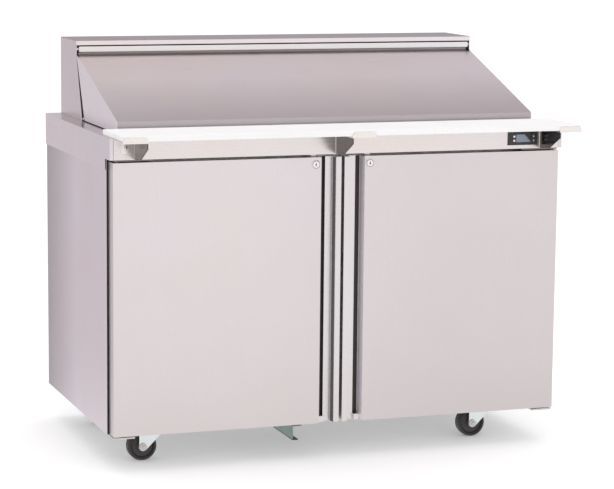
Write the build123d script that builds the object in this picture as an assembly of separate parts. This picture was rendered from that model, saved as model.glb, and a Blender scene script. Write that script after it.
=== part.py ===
"""Two-door refrigerated sandwich prep table, 48 inches wide, on casters.

Frame: millimetres, +Z up, +X to the operator's right, the operator stands at -Y.
The parts are modelled from the cabinet's front plane (y = 0, the door faces) and moved back
by CENTRE_Y when they are written, so that the origin is under the centre of the whole object.
"""
from build123d import *
import math
import os

# ---------------------------------------------------------------- driving dimensions
WIDTH = 1219.0              # over the counter skirts
HALF = WIDTH / 2
DEPTH = 695.0               # door faces to the rear edge
BASE_Z = 92.0               # underside of the cabinet, which is the height of a caster
COUNTER_Z = 844.0           # top face of the stainless counter
HOOD_TOP_Z = 1051.0
SHEET = 1.2                 # stainless sheet
BOARD_FRONT = -120.0        # the cutting board overhangs the doors
BOARD_BACK = 77.5
BOARD_THICK = 12.7
BOARD_HALF = 606.5
LIP_T = 2.0
LIP_GAP = 0.3
FRONT_Y = BOARD_FRONT - LIP_GAP - LIP_T
CENTRE_Y = (FRONT_Y + DEPTH) / 2

# counter, skirts and fascia
SKIRT_Z = 760.0             # bottom of the side skirts, behind the doors
FASCIA_Z = 790.0            # bottom of the fascia and of the skirts beside the doors
NOSE_DEPTH = 48.0           # the fascia stands this far in front of the face frame
CORNER_RETURN = 10.0        # the skirts wrap this far round the front corners
REAR_FLANGE_Z = 814.0

# cabinet shell
SIDE_X = 606.5              # outer face of the side panels
SIDE_FRONT = 46.0
FRAME_Y = 50.0              # sealing face behind the doors
FRAME_T = 3.0
FRAME_TOP = 842.0
BAY_IN = 33.0               # door opening, measured from the centre
BAY_OUT = 558.0
BAY_BOTTOM = 141.0
BAY_TOP = 752.0
CAVITY_X = 560.0            # foam side of the liner
CAVITY_FLOOR = 138.0
CAVITY_TOP = 796.0
CAVITY_BACK_LOW = 500.0     # in front of the machine compartment
CAVITY_BACK_HIGH = 648.0    # above it
STEP_Z = 475.0
MACHINE_FRONT = 545.0
MACHINE_TOP = 430.0
LINER_T = 1.0
MULLION_HALF = 28.0
MULLION_DEPTH = 35.0

# pan well
WELL_X = 529.0
WELL_FRONT = 106.0
WELL_BACK = 594.0
RAIL_Z = COUNTER_Z
RAIL_T = 1.2
PAN_PITCH_X = 176.0
PAN_PITCH_Y = 162.0
PAN_COLUMNS = 6
PAN_ROWS = 3
PAN_DEPTH = 100.0
PAN_RIM = 8.5
PAN_WALL = 0.9
PAN_TAPER = 8.0
WELL_MID = (WELL_FRONT + WELL_BACK) / 2

# hood and lid
HOOD_X = 566.0              # outer faces of the hood's and the lid's ends
HOOD_SHEET = 1.5
HOOD_TOP_FRONT = 517.0
HOOD_KNEE_Z = 1012.0
HOOD_BASE_FRONT = 458.0
CAP_LIP = 12.5
HINGE_Y = 524.0
HINGE_Z = 1028.0
BARREL_R = 9.5
BARREL_X = 559.0
HINGE_ROD_R = 5.0
RUN_FIT = 0.06              # radial clearance of every running fit
LID_OFFSET = 12.0           # the lid's outer face passes this far below the hinge axis
LID_FRONT = 97.0
LID_KNEE_Z = 875.0
LID_BOTTOM = 846.5
LID_HEM_Z = 858.0
LID_FLARE = 8.0
LID_REAR_BOTTOM = 430.0
LID_TOP_Y = 513.0
LID_CORE_T = 20.0

# doors
DOOR_Z0 = 95.0
DOOR_Z1 = 783.0
DOOR_IN = 4.0               # half of the gap between the doors
DOOR_OUT = 601.0
DOOR_T = 42.0
SKIN_T = 1.0
PULL = [(4.0, 0.0), (18.5, 0.0), (21.0, 21.0), (41.0, 21.0), (41.0, 34.0), (58.0, 34.0), (58.0, 0.0)]
PULL_T = 1.5
PULL_PLUG = 16.0            # the finger slot is closed this far up from the bottom
PIN_X = 587.0
PIN_Y = 18.0
PIN_R = 5.0
PIN_IN_DOOR = 15.0
LOCK_X = 73.0
LOCK_Z = 764.5
LOCK_R = 9.0
LOCK_HEAD_R = 11.5
CAM_LENGTH = 25.0
CAM_Y = 24.0
CAM_T = 2.5
GASKET_W = 14.0
GASKET_T = 7.6

# board brackets: gusset position, and the side to which its flanges turn
BRACKETS = [(-546.0, -1, 62.0), (-19.0, 1, 61.0), (547.0, 1, 60.0)]
SHELF_T = 3.0
GUSSET_T = 2.5
LIP_Z0 = 842.5
LIP_Z1 = 857.5
LIP_CHAMFER = 7.0

# controller
PANEL_X0 = 455.0
PANEL_X1 = 539.0
PANEL_Z0 = 799.5
PANEL_Z1 = 834.5
PANEL_T = 3.0
LCD_X0 = 478.0
LCD_X1 = 519.0
LCD_Z0 = 807.0
LCD_Z1 = 827.5
BUTTON_R = 3.3
BUTTON_X = (472.0, 528.0)
BUTTON_Z = (811.7, 822.3)
BUTTON_PROUD = 1.6
BUTTON_TRAVEL = 1.0

# casters
CASTER_X = 458.0
CASTER_Y = (134.0, 560.0)
WHEEL_R = 38.0
WHEEL_W = 32.0
TRAIL = 36.0
AXLE_R = 6.0
KINGPIN_R = 5.0

# shelves
SHELF_Z = 420.0
SHELF_X0 = 40.0
SHELF_X1 = 545.0
SHELF_Y0 = 92.0
SHELF_Y1 = 484.0
FRAME_ROD_R = 3.5
WIRE_R = 2.0
WIRE_COUNT = 20
PILASTER_T = 3.0

# rear cover and cord gland
COVER_Y = DEPTH - 11.0      # front face of the machine compartment's cover
GLAND_X = -540.0
GLAND_Z = 130.0
GLAND_BODY_R = 9.0
GLAND_BORE_R = 4.8
GLAND_LENGTH = 26.0

# channel under the cabinet
CHANNEL_X = -128.0
CHANNEL_T = 2.0
CHANNEL_Z = 54.0
CHANNEL_Y0 = 6.0
CHANNEL_Y1 = 330.0
CHANNEL_TOP_W = 26.0
CHANNEL_FOOT_W = 16.0
CHANNEL_FOOT_Y1 = 60.0

# machinery
CONDENSER_X = 160.0
CONDENSER_Z = 222.0
CONDENSER_FAN_Y = 612.0
CONDENSER_FAN_R = 86.0
EVAPORATOR_Z = 620.0
EVAPORATOR_FAN_Y = 536.0
EVAPORATOR_FAN_R = 56.0
FAN_SHAFT_R = 3.0


# ---------------------------------------------------------------- helpers
def box(x0, x1, y0, y1, z0, z1):
    """A box between two corners."""
    return Pos(x0, y0, z0) * Box(x1 - x0, y1 - y0, z1 - z0, align=(Align.MIN, Align.MIN, Align.MIN))


def prism_x(points, x0, x1):
    """A (y, z) outline extruded along X."""
    face = make_face(Polyline(*points, close=True))
    return Pos(x0, 0, 0) * extrude(Plane.YZ * face, amount=x1 - x0)


def prism_z(points, z0, z1):
    """An (x, y) outline extruded along Z."""
    face = make_face(Polyline(*points, close=True))
    return Pos(0, 0, z0) * extrude(face, amount=z1 - z0)


def prism_y(points, y0, y1):
    """An (x, z) outline extruded along Y."""
    face = make_face(Polyline(*points, close=True))
    return Pos(0, y1, 0) * extrude(Plane.XZ * face, amount=y1 - y0)


def rod(radius, start, end):
    """A round bar between two points that differ in one coordinate."""
    first, last = Vector(*start), Vector(*end)
    return Plane(origin=first, z_dir=last - first) * Cylinder(
        radius, (last - first).length, align=(Align.CENTER, Align.CENTER, Align.MIN))


def strip(points, thickness):
    """The outline of a folded sheet: the points, and the same line offset to its left."""
    offset = []
    count = len(points)
    for i, (a, b) in enumerate(points):
        normals = []
        for j in (i - 1, i):
            if 0 <= j < count - 1:
                da = points[j + 1][0] - points[j][0]
                db = points[j + 1][1] - points[j][1]
                length = math.hypot(da, db)
                normals.append((-db / length, da / length))
        na = sum(n[0] for n in normals) / len(normals)
        nb = sum(n[1] for n in normals) / len(normals)
        scale = thickness / (na * na + nb * nb)
        offset.append((a + na * scale, b + nb * scale))
    return list(points) + offset[::-1]


def both_sides(shape):
    """The shape and its mirror image in the centre plane."""
    return [shape, mirror(shape, about=Plane.YZ)]


def solids_of(shapes):
    """Every solid in a shape or in a list of shapes."""
    items = shapes if isinstance(shapes, (list, tuple)) else [shapes]
    found = []
    for item in items:
        found += list(item.solids())
    return found


def screw_head(x, y, z, direction, radius=4.5, height=2.2):
    """A pan head with its rounded side facing along direction."""
    plane = Plane(origin=(x, y, z), z_dir=direction)
    head = Cylinder(radius, height, align=(Align.CENTER, Align.CENTER, Align.MIN))
    head = fillet(head.edges().group_by(Axis.Z)[-1], height * 0.7)
    return plane * head


# ---------------------------------------------------------------- cabinet shell
def side_panel():
    return box(SIDE_X - SHEET, SIDE_X, SIDE_FRONT, DEPTH - SHEET, BASE_Z, COUNTER_Z - SHEET)


def back_panel():
    return box(-SIDE_X, SIDE_X, DEPTH - SHEET, DEPTH, MACHINE_TOP, REAR_FLANGE_Z)


def rear_grille():
    """The recessed, slotted cover of the machine compartment, with the hole for the gland."""
    y0 = COVER_Y
    panel = box(-604.0, 604.0, y0, y0 + SHEET, 96.0, MACHINE_TOP - 1.0)
    for x0 in (-470.0, -60.0, 120.0, 330.0):
        for row in range(11):
            z0 = 150.0 + row * 22.0
            panel -= box(x0, x0 + 150.0, y0 - 1, y0 + 3, z0, z0 + 8.0)
    panel -= rod(GLAND_BODY_R + 0.15, (GLAND_X, y0 - 1, GLAND_Z), (GLAND_X, y0 + 3, GLAND_Z))
    return panel


def cord_inlet():
    """A cable gland in the rear cover: body, flange and cap nut round the cord's bore."""
    y1 = DEPTH - 0.6
    y0 = y1 - GLAND_LENGTH
    cover = COVER_Y + SHEET
    body = rod(GLAND_BODY_R, (GLAND_X, y0, GLAND_Z), (GLAND_X, y1 - 4.0, GLAND_Z))
    body += rod(13.0, (GLAND_X, cover, GLAND_Z), (GLAND_X, cover + 3.0, GLAND_Z))
    body += rod(10.5, (GLAND_X, cover + 3.0, GLAND_Z), (GLAND_X, y1, GLAND_Z))
    body -= rod(GLAND_BORE_R, (GLAND_X, y0 - 1, GLAND_Z), (GLAND_X, y1 + 1, GLAND_Z))
    return body


def base_pan():
    """The underside sheet with a stiffening lip along its front."""
    return box(-605.0, 605.0, FRAME_Y, DEPTH - 12.5, BASE_Z, BASE_Z + SHEET)


def foam_core():
    """The insulation, as the flat slabs that surround the cavity and the pan well."""
    z0 = BASE_Z + SHEET
    front = FRAME_Y + FRAME_T
    outer = SIDE_X - SHEET
    rear = DEPTH - SHEET
    top = COUNTER_Z - SHEET
    slabs = [
        box(-CAVITY_X, CAVITY_X, front, MACHINE_FRONT, z0, CAVITY_FLOOR),
        box(-CAVITY_X, CAVITY_X, CAVITY_BACK_LOW, MACHINE_FRONT, CAVITY_FLOOR, STEP_Z),
        box(-CAVITY_X, CAVITY_X, MACHINE_FRONT, rear, MACHINE_TOP, STEP_Z),
        box(-CAVITY_X, CAVITY_X, CAVITY_BACK_HIGH, rear, STEP_Z, CAVITY_TOP),
        box(-CAVITY_X, CAVITY_X, front, WELL_FRONT, CAVITY_TOP, top),
        box(-CAVITY_X, CAVITY_X, WELL_BACK, rear, CAVITY_TOP, top),
    ]
    slabs += both_sides(box(CAVITY_X, outer, front, MACHINE_FRONT, z0, top))
    slabs += both_sides(box(CAVITY_X, outer, MACHINE_FRONT, rear, MACHINE_TOP, top))
    slabs += both_sides(box(WELL_X, CAVITY_X, WELL_FRONT, WELL_BACK, CAVITY_TOP, top))
    return slabs


def inner_liner():
    """The food-safe lining of the cavity and the pan well, open at the doors and at the top."""
    front = FRAME_Y + FRAME_T
    t = LINER_T
    profile = [(front, CAVITY_FLOOR), (CAVITY_BACK_LOW, CAVITY_FLOOR), (CAVITY_BACK_LOW, STEP_Z),
               (CAVITY_BACK_HIGH, STEP_Z), (CAVITY_BACK_HIGH, CAVITY_TOP), (front, CAVITY_TOP)]
    inside = [(front - 1, CAVITY_FLOOR + t), (CAVITY_BACK_LOW - t, CAVITY_FLOOR + t),
              (CAVITY_BACK_LOW - t, STEP_Z + t), (CAVITY_BACK_HIGH - t, STEP_Z + t),
              (CAVITY_BACK_HIGH - t, CAVITY_TOP - t), (front - 1, CAVITY_TOP - t)]
    liner = prism_x(profile, -CAVITY_X, CAVITY_X)
    liner += box(-WELL_X, WELL_X, WELL_FRONT, WELL_BACK, CAVITY_TOP - 5, COUNTER_Z - SHEET)
    liner -= prism_x(inside, -CAVITY_X + t, CAVITY_X - t)
    liner -= box(-WELL_X + t, WELL_X - t, WELL_FRONT + t, WELL_BACK - t, CAVITY_TOP - 10, COUNTER_Z)
    return liner


def face_frame():
    """The sealing frame behind the doors: two bays and a centre stile."""
    frame = box(-605.0, 605.0, FRAME_Y, FRAME_Y + FRAME_T, BASE_Z + SHEET, FRAME_TOP)
    for bay in both_sides(box(BAY_IN, BAY_OUT, FRAME_Y - 1, FRAME_Y + FRAME_T + 1, BAY_BOTTOM, BAY_TOP)):
        frame -= bay
    return frame


def center_mullion():
    """The hollow post behind the centre stile."""
    y0 = FRAME_Y + FRAME_T
    z0, z1 = CAVITY_FLOOR + LINER_T, CAVITY_TOP - LINER_T
    post = box(-MULLION_HALF, MULLION_HALF, y0, y0 + MULLION_DEPTH, z0, z1)
    return post - box(-MULLION_HALF + 2, MULLION_HALF - 2, y0 + 2, y0 + MULLION_DEPTH - 2, z0 - 1, z1 + 1)


def countertop():
    """The counter sheet with its skirts, front corner returns and rear flange."""
    z1 = COUNTER_Z
    top = box(-HALF, HALF, 0, DEPTH, z1 - SHEET, z1)
    top -= box(-WELL_X, WELL_X, WELL_FRONT, WELL_BACK, z1 - 5, z1 + 5)
    skirt_outline = [(0, FASCIA_Z), (NOSE_DEPTH, FASCIA_Z), (NOSE_DEPTH, SKIRT_Z),
                     (DEPTH, SKIRT_Z), (DEPTH, z1 - SHEET / 2), (0, z1 - SHEET / 2)]
    for skirt in both_sides(prism_x(skirt_outline, HALF - SHEET, HALF)):
        top += skirt
    for corner in both_sides(box(HALF - CORNER_RETURN, HALF, 0, SHEET, FASCIA_Z, z1)):
        top += corner
    top += box(-HALF, HALF, DEPTH - SHEET, DEPTH, REAR_FLANGE_Z, z1)
    return top


def control_fascia():
    """The folded front panel under the counter's edge, with its controller cut-out and keepers."""
    half = HALF - CORNER_RETURN - 0.3
    z1 = COUNTER_Z - SHEET
    panel = box(-half, half, 0, SHEET, FASCIA_Z, z1)
    panel += box(-half, half, 0, NOSE_DEPTH, FASCIA_Z, FASCIA_Z + SHEET)
    panel -= box(PANEL_X0 + 4, PANEL_X1 - 4, -1, SHEET + 1, PANEL_Z0 + 4, PANEL_Z1 - 4)
    keeper = box(LOCK_X - 7, LOCK_X + 7, CAM_Y - 3.5, CAM_Y - 1.5, DOOR_Z1 + 1.5, FASCIA_Z + 0.5)
    for shape in both_sides(keeper):
        panel += shape
    return panel


# ---------------------------------------------------------------- pan well
def pan_rail():
    """The raised ring round the well that carries the pans' rims."""
    outer = box(-WELL_X - 7, WELL_X + 7, WELL_FRONT - 7, WELL_BACK + 7, RAIL_Z, RAIL_Z + RAIL_T)
    outer += box(-WELL_X + 6.8, WELL_X - 6.8, WELL_FRONT + 5.8, WELL_BACK - 5.8, RAIL_Z - 14, RAIL_Z + RAIL_T)
    inner = box(-WELL_X + 8, WELL_X - 8, WELL_FRONT + 7, WELL_BACK - 7, RAIL_Z - 20, RAIL_Z + 5)
    return outer - inner


def divider_bars():
    """Five channel bars between the pan columns."""
    bars = []
    for column in range(1, PAN_COLUMNS):
        x = (column - PAN_COLUMNS / 2) * PAN_PITCH_X
        bar = box(x - 5, x + 5, WELL_FRONT + 7, WELL_BACK - 7, RAIL_Z - 7, RAIL_Z + RAIL_T)
        bar -= box(x - 3.8, x + 3.8, WELL_FRONT, WELL_BACK, RAIL_Z - 8, RAIL_Z)
        bars.append(bar)
    return bars


def pan_sketch(width, depth, radius, z):
    return Pos(0, 0, z) * RectangleRounded(width, depth, radius)


def food_pan():
    """A one-sixth pan: tapered bowl with rounded corners and a flat rim, about its own centre."""
    rim_z = RAIL_Z + RAIL_T
    width = PAN_PITCH_X - 1.0
    depth = PAN_PITCH_Y - 1.0
    mouth_w = width - 2 * PAN_RIM
    mouth_d = depth - 2 * PAN_RIM
    floor_z = rim_z - PAN_DEPTH
    outer = loft([pan_sketch(mouth_w - 2 * PAN_TAPER, mouth_d - 2 * PAN_TAPER, 14, floor_z),
                  pan_sketch(mouth_w, mouth_d, 16, rim_z)])
    rim = extrude(pan_sketch(width, depth, 10, rim_z), amount=PAN_WALL)
    slack = 2 * PAN_WALL
    low = 2 * PAN_TAPER + slack
    inner = loft([pan_sketch(mouth_w - low, mouth_d - low, 13, floor_z + PAN_WALL),
                  pan_sketch(mouth_w - slack + 0.2, mouth_d - slack + 0.2, 15, rim_z + PAN_WALL)])
    return outer + rim - inner


def food_pans():
    pan = food_pan()
    pans = []
    for row in range(PAN_ROWS):
        for column in range(PAN_COLUMNS):
            x = (column - (PAN_COLUMNS - 1) / 2) * PAN_PITCH_X
            y = WELL_MID + (row - (PAN_ROWS - 1) / 2) * PAN_PITCH_Y
            pans.append(Pos(x, y, 0) * pan)
    return pans


# ---------------------------------------------------------------- hood and lid
def hood_housing():
    """The fixed rear housing: two end panels and a back."""
    top = HOOD_TOP_Z - HOOD_SHEET
    end = [(DEPTH, COUNTER_Z), (DEPTH, top), (HOOD_TOP_FRONT, top),
           (HOOD_TOP_FRONT, HOOD_KNEE_Z), (HOOD_BASE_FRONT, COUNTER_Z)]
    housing = box(-HOOD_X, HOOD_X, DEPTH - HOOD_SHEET, DEPTH, COUNTER_Z, top)
    for side in both_sides(prism_x(end, HOOD_X - HOOD_SHEET, HOOD_X)):
        housing += side
    foot = box(-HOOD_X, HOOD_X, DEPTH - 22.0, DEPTH, COUNTER_Z, COUNTER_Z + HOOD_SHEET)
    return housing + foot


def hood_cap():
    """The top sheet, with a lip turned down over the lid's barrel."""
    top = box(-HOOD_X, HOOD_X, HOOD_TOP_FRONT - SHEET, DEPTH, HOOD_TOP_Z - HOOD_SHEET, HOOD_TOP_Z)
    lip = box(-HOOD_X, HOOD_X, HOOD_TOP_FRONT - SHEET, HOOD_TOP_FRONT, HOOD_TOP_Z - CAP_LIP, HOOD_TOP_Z)
    return top + lip


def lid_hinge_rod():
    half = HOOD_X - HOOD_SHEET
    return rod(HINGE_ROD_R, (-half, HINGE_Y, HINGE_Z), (half, HINGE_Y, HINGE_Z))


def lid_line():
    """The lid's slope in radians: its outer face is tangent to LID_OFFSET round the hinge."""
    dy = HINGE_Y - LID_FRONT
    dz = HINGE_Z - LID_KNEE_Z
    return math.atan2(dz, dy) - math.asin(LID_OFFSET / math.hypot(dy, dz))


def lid_z(y):
    """Height of the lid's outer face."""
    return LID_KNEE_Z + (y - LID_FRONT) * math.tan(lid_line())


def lid_skin():
    """The lid's outer shell: sloping panel, hemmed front, end plates and the hinge barrel."""
    slope = lid_line()
    panel = strip([(LID_FRONT - LID_FLARE, LID_BOTTOM), (LID_FRONT, LID_HEM_Z), (LID_FRONT, LID_KNEE_Z),
                   (LID_TOP_Y, lid_z(LID_TOP_Y))], -SHEET)
    shell = prism_x(panel, -HOOD_X, HOOD_X)
    end = [(LID_FRONT, LID_HEM_Z), (LID_FRONT + 4, LID_BOTTOM), (LID_REAR_BOTTOM, LID_BOTTOM),
           (LID_TOP_Y - 6, 1000.0), (LID_TOP_Y - 1, lid_z(LID_TOP_Y) - 3),
           (LID_TOP_Y - 1, lid_z(LID_TOP_Y - 1) - SHEET / 2),
           (LID_FRONT, LID_KNEE_Z - SHEET / 2)]
    for side in both_sides(prism_x(end, HOOD_X - SHEET, HOOD_X)):
        shell += side
    foot = (HINGE_Y + LID_OFFSET * math.sin(slope), HINGE_Z - LID_OFFSET * math.cos(slope))
    tab = strip([(LID_TOP_Y - 3, lid_z(LID_TOP_Y - 3)), foot], -SHEET)
    shell += prism_x(tab, -BARREL_X, BARREL_X)
    along = (math.cos(slope) * 2.5, math.sin(slope) * 2.5)
    web = [(foot[0] - along[0], foot[1] - along[1]), foot,
           (HINGE_Y, HINGE_Z), (HINGE_Y - along[0], HINGE_Z - along[1])]
    shell += prism_x(web, -BARREL_X, BARREL_X)
    shell += rod(BARREL_R, (-BARREL_X, HINGE_Y, HINGE_Z), (BARREL_X, HINGE_Y, HINGE_Z))
    bore = rod(HINGE_ROD_R + RUN_FIT, (-HALF, HINGE_Y, HINGE_Z), (HALF, HINGE_Y, HINGE_Z))
    return shell - bore


def lid_liner():
    """The insulated inner slab under the lid's panel."""
    slope = lid_line()
    y0, y1 = LID_FRONT + 18.0, LID_TOP_Y - 10.0
    drop = SHEET / math.cos(slope)
    top = [(y0, lid_z(y0) - drop), (y1, lid_z(y1) - drop)]
    sink = (LID_CORE_T * math.sin(slope), -LID_CORE_T * math.cos(slope))
    low = [(top[1][0] + sink[0] - 8, top[1][1] + sink[1]), (top[0][0] + sink[0] + 4, top[0][1] + sink[1])]
    return prism_x(top + low, -HOOD_X + 6, HOOD_X - 6)


# ---------------------------------------------------------------- cutting board
def cutting_board():
    z0 = COUNTER_Z + SHELF_T
    board = box(-BOARD_HALF, BOARD_HALF, BOARD_FRONT, BOARD_BACK, z0, z0 + BOARD_THICK)
    return fillet(board.edges(), 1.5)


def board_bracket(x, side, width):
    """One bracket: gusset, flange on the fascia, shelf under the board and a lip before it."""
    gusset = [(0, FASCIA_Z + 0.5), (-62, FASCIA_Z + 7), (FRONT_Y, 828),
              (FRONT_Y, COUNTER_Z + 1), (0, COUNTER_Z + 1)]
    x_in = x - side * GUSSET_T / 2
    x_out = x + side * width
    low, high = min(x_in, x_out), max(x_in, x_out)
    bracket = prism_x(gusset, x - GUSSET_T / 2, x + GUSSET_T / 2)
    bracket += box(low, high, FRONT_Y, 60.0, COUNTER_Z, COUNTER_Z + SHELF_T)
    flange = sorted([x_in, x + side * 34])
    bracket += box(flange[0], flange[1], -2.0, 0, 806.0, 841.0)
    c = LIP_CHAMFER
    lip = [(low, LIP_Z0), (high, LIP_Z0), (high, LIP_Z1 - c),
           (high - c, LIP_Z1), (low + c, LIP_Z1), (low, LIP_Z1 - c)]
    bracket += prism_y(lip, FRONT_Y, FRONT_Y + LIP_T)
    return bracket


def board_brackets():
    return [board_bracket(*spec) for spec in BRACKETS]


def screws():
    """Every visible fastener head, each a separate solid."""
    heads = [screw_head(x + side * 23, -2.0, 822.0, (0, -1, 0)) for x, side, _ in BRACKETS]
    for x in (-590.0, -200.0, 200.0, 590.0):
        for z in (108.0, 417.0):
            heads.append(screw_head(x, COVER_Y + SHEET, z, (0, 1, 0)))
    for side in (-1, 1):
        for x in (556.0, 574.0):
            heads.append(screw_head(side * x, 72.0, BASE_Z - 4.0, (0, 0, -1)))
    return heads


# ---------------------------------------------------------------- controller
def controller_bezel():
    """The controller's front frame and its housing behind the fascia."""
    bezel = box(PANEL_X0, PANEL_X1, -PANEL_T, 0, PANEL_Z0, PANEL_Z1)
    front_edges = bezel.edges().group_by(Axis.Y)[0]
    bezel = chamfer(front_edges, 1.0)
    bezel += box(PANEL_X0 + 4.2, PANEL_X1 - 4.2, -0.5, 32.0, PANEL_Z0 + 4.2, PANEL_Z1 - 4.2)
    bezel -= box(LCD_X0, LCD_X1, -PANEL_T - 1, -1.0, LCD_Z0, LCD_Z1)
    for x in BUTTON_X:
        for z in BUTTON_Z:
            bezel -= rod(BUTTON_R + RUN_FIT, (x, -PANEL_T - 1, z), (x, 4.0, z))
    return bezel


def controller_display():
    return box(LCD_X0 + 0.1, LCD_X1 - 0.1, -2.4, -1.0, LCD_Z0 + 0.1, LCD_Z1 - 0.1)


def button(x, z):
    cap = rod(BUTTON_R, (x, 2.0, z), (x, -PANEL_T - BUTTON_PROUD, z))
    return fillet(cap.edges().group_by(Axis.Y)[0], 0.8)


# ---------------------------------------------------------------- doors (built on the right)
def door_pull():
    """The folded edge pull with its finger slot, closed at the bottom by a plug."""
    line = [(DOOR_IN, DOOR_T - SKIN_T)] + PULL
    pull = prism_z(strip(line, PULL_T), DOOR_Z0 + SKIN_T, DOOR_Z1 - SKIN_T)
    return pull + box(41.0, 58.0, 10.0, 34.5, DOOR_Z0 + SKIN_T, DOOR_Z0 + PULL_PLUG)


def pull_region():
    """Everything in front of and including the folded pull, in plan."""
    inner = strip([(DOOR_IN, DOOR_T - SKIN_T)] + PULL, PULL_T)
    folded = inner[len(PULL) + 1:][::-1]
    return [(DOOR_IN - 1, DOOR_T - SKIN_T)] + folded + [(folded[-1][0], -1), (DOOR_IN - 1, -1)]


def door_skin():
    """The outer stainless pan of the door: face, hinge edge, top and bottom."""
    x0 = PULL[-1][0] + PULL_T
    face = box(x0, DOOR_OUT, 0, SKIN_T, DOOR_Z0, DOOR_Z1)
    edge = box(DOOR_OUT - SKIN_T, DOOR_OUT, 0, DOOR_T - SKIN_T, DOOR_Z0, DOOR_Z1)
    skin = face + edge
    cap_outline = [(DOOR_IN, DOOR_T - SKIN_T)] + PULL + [(DOOR_OUT, 0), (DOOR_OUT, DOOR_T - SKIN_T)]
    for z0 in (DOOR_Z0, DOOR_Z1 - SKIN_T):
        skin += prism_z(cap_outline, z0, z0 + SKIN_T)
    skin = fillet(skin.edges().filter_by(Axis.Z).sort_by_distance(Vector(DOOR_OUT, 0, 400))[0], 0.9)
    skin -= rod(PIN_R + RUN_FIT, (PIN_X, PIN_Y, DOOR_Z0 - 5), (PIN_X, PIN_Y, DOOR_Z1 + 5))
    skin -= rod(LOCK_R + RUN_FIT, (LOCK_X, -1, LOCK_Z), (LOCK_X, 5, LOCK_Z))
    cam_slot = box(LOCK_X - 6, LOCK_X + CAM_LENGTH - 4, CAM_Y - 1, CAM_Y + CAM_T + 1,
                   DOOR_Z1 - 3, DOOR_Z1 + 3)
    skin -= cam_slot
    return skin


def door_core():
    """The foam filling and the inner panel with its raised field."""
    foam = box(DOOR_IN, DOOR_OUT - SKIN_T, SKIN_T, DOOR_T - SKIN_T, DOOR_Z0 + SKIN_T, DOOR_Z1 - SKIN_T)
    foam -= prism_z(pull_region(), DOOR_Z0, DOOR_Z1)
    foam -= box(40.0, 59.5, 5.0, 36.0, DOOR_Z0, DOOR_Z0 + PULL_PLUG)
    for z0, z1 in ((DOOR_Z0 - 1, DOOR_Z0 + 18), (DOOR_Z1 - 18, DOOR_Z1 + 1)):
        foam -= rod(PIN_R + 0.4, (PIN_X, PIN_Y, z0), (PIN_X, PIN_Y, z1))
    foam -= rod(LOCK_R + 0.4, (LOCK_X, 0, LOCK_Z), (LOCK_X, CAM_Y + CAM_T + 2, LOCK_Z))
    foam -= box(LOCK_X - 8, LOCK_X + CAM_LENGTH + 3, CAM_Y - 2, CAM_Y + CAM_T + 2, LOCK_Z - 10, DOOR_Z1 + 1)
    panel = box(DOOR_IN, DOOR_OUT, DOOR_T - SKIN_T, DOOR_T, DOOR_Z0, DOOR_Z1)
    field = box(60.0, 540.0, DOOR_T, DOOR_T + 4.5, BAY_BOTTOM + 16, BAY_TOP - 16)
    field = chamfer(field.edges().group_by(Axis.Y)[-1], 3.0)
    return [foam, panel + field]


def door_gasket():
    """The magnetic seal: a square ring with a bead groove round its outside."""
    z0, z1 = BAY_BOTTOM - 22, BAY_TOP + 20
    x0, x1 = 12.0, 588.0
    ring = box(x0, x1, DOOR_T, DOOR_T + GASKET_T, z0, z1)
    ring -= box(x0 + GASKET_W, x1 - GASKET_W, DOOR_T - 1, DOOR_T + 20, z0 + GASKET_W, z1 - GASKET_W)
    groove = box(x0 - 1, x1 + 1, DOOR_T + 3, DOOR_T + 4.4, z0 - 1, z1 + 1)
    groove -= box(x0 + 2.5, x1 - 2.5, DOOR_T, DOOR_T + 10, z0 + 2.5, z1 - 2.5)
    return ring - groove


def door_lock():
    """The key barrel, its rim and keyway, and the cam that rises behind the keeper."""
    barrel = rod(LOCK_R, (LOCK_X, -0.2, LOCK_Z), (LOCK_X, CAM_Y, LOCK_Z))
    rim = rod(LOCK_HEAD_R, (LOCK_X, -2.4, LOCK_Z), (LOCK_X, -0.2, LOCK_Z))
    rim = fillet(rim.edges().group_by(Axis.Y)[0], 1.2)
    lock = barrel + rim
    lock -= rod(6.5, (LOCK_X, -3, LOCK_Z), (LOCK_X, -1.6, LOCK_Z))
    lock -= box(LOCK_X - 0.9, LOCK_X + 0.9, -3, 8, LOCK_Z - 4, LOCK_Z + 4)
    cam = box(LOCK_X - 5, LOCK_X + CAM_LENGTH, CAM_Y, CAM_Y + CAM_T, LOCK_Z - 4.5, LOCK_Z + 4.5)
    return lock + cam


def hinge_brackets():
    """Top and bottom hinge plates with their pins, both sides."""
    top = box(496.0, 598.0, 4.0, NOSE_DEPTH - 0.5, DOOR_Z1 + 3.2, FASCIA_Z)
    top += rod(PIN_R, (PIN_X, PIN_Y, DOOR_Z1 - PIN_IN_DOOR), (PIN_X, PIN_Y, FASCIA_Z))
    bottom = box(545.0, 600.0, 4.0, 92.0, BASE_Z - 4.0, BASE_Z)
    bottom += rod(PIN_R, (PIN_X, PIN_Y, BASE_Z - 2), (PIN_X, PIN_Y, DOOR_Z0 + PIN_IN_DOOR))
    bottom += rod(9.0, (PIN_X, PIN_Y, BASE_Z - 2), (PIN_X, PIN_Y, DOOR_Z0 - 0.3))
    return both_sides(top) + both_sides(bottom)


# ---------------------------------------------------------------- shelves

def wire_shelf():
    """One shelf: three cross rods under a row of wires."""
    parts = []
    for y in (SHELF_Y0 + 4, (SHELF_Y0 + SHELF_Y1) / 2, SHELF_Y1 - 4):
        parts.append(rod(FRAME_ROD_R, (SHELF_X0, y, SHELF_Z), (SHELF_X1, y, SHELF_Z)))
    wire_z = SHELF_Z + FRAME_ROD_R + WIRE_R
    for i in range(WIRE_COUNT):
        x = SHELF_X0 + 4 + i * (SHELF_X1 - SHELF_X0 - 8) / (WIRE_COUNT - 1)
        parts.append(rod(WIRE_R, (x, SHELF_Y0, wire_z), (x, SHELF_Y1, wire_z)))
    return parts


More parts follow.
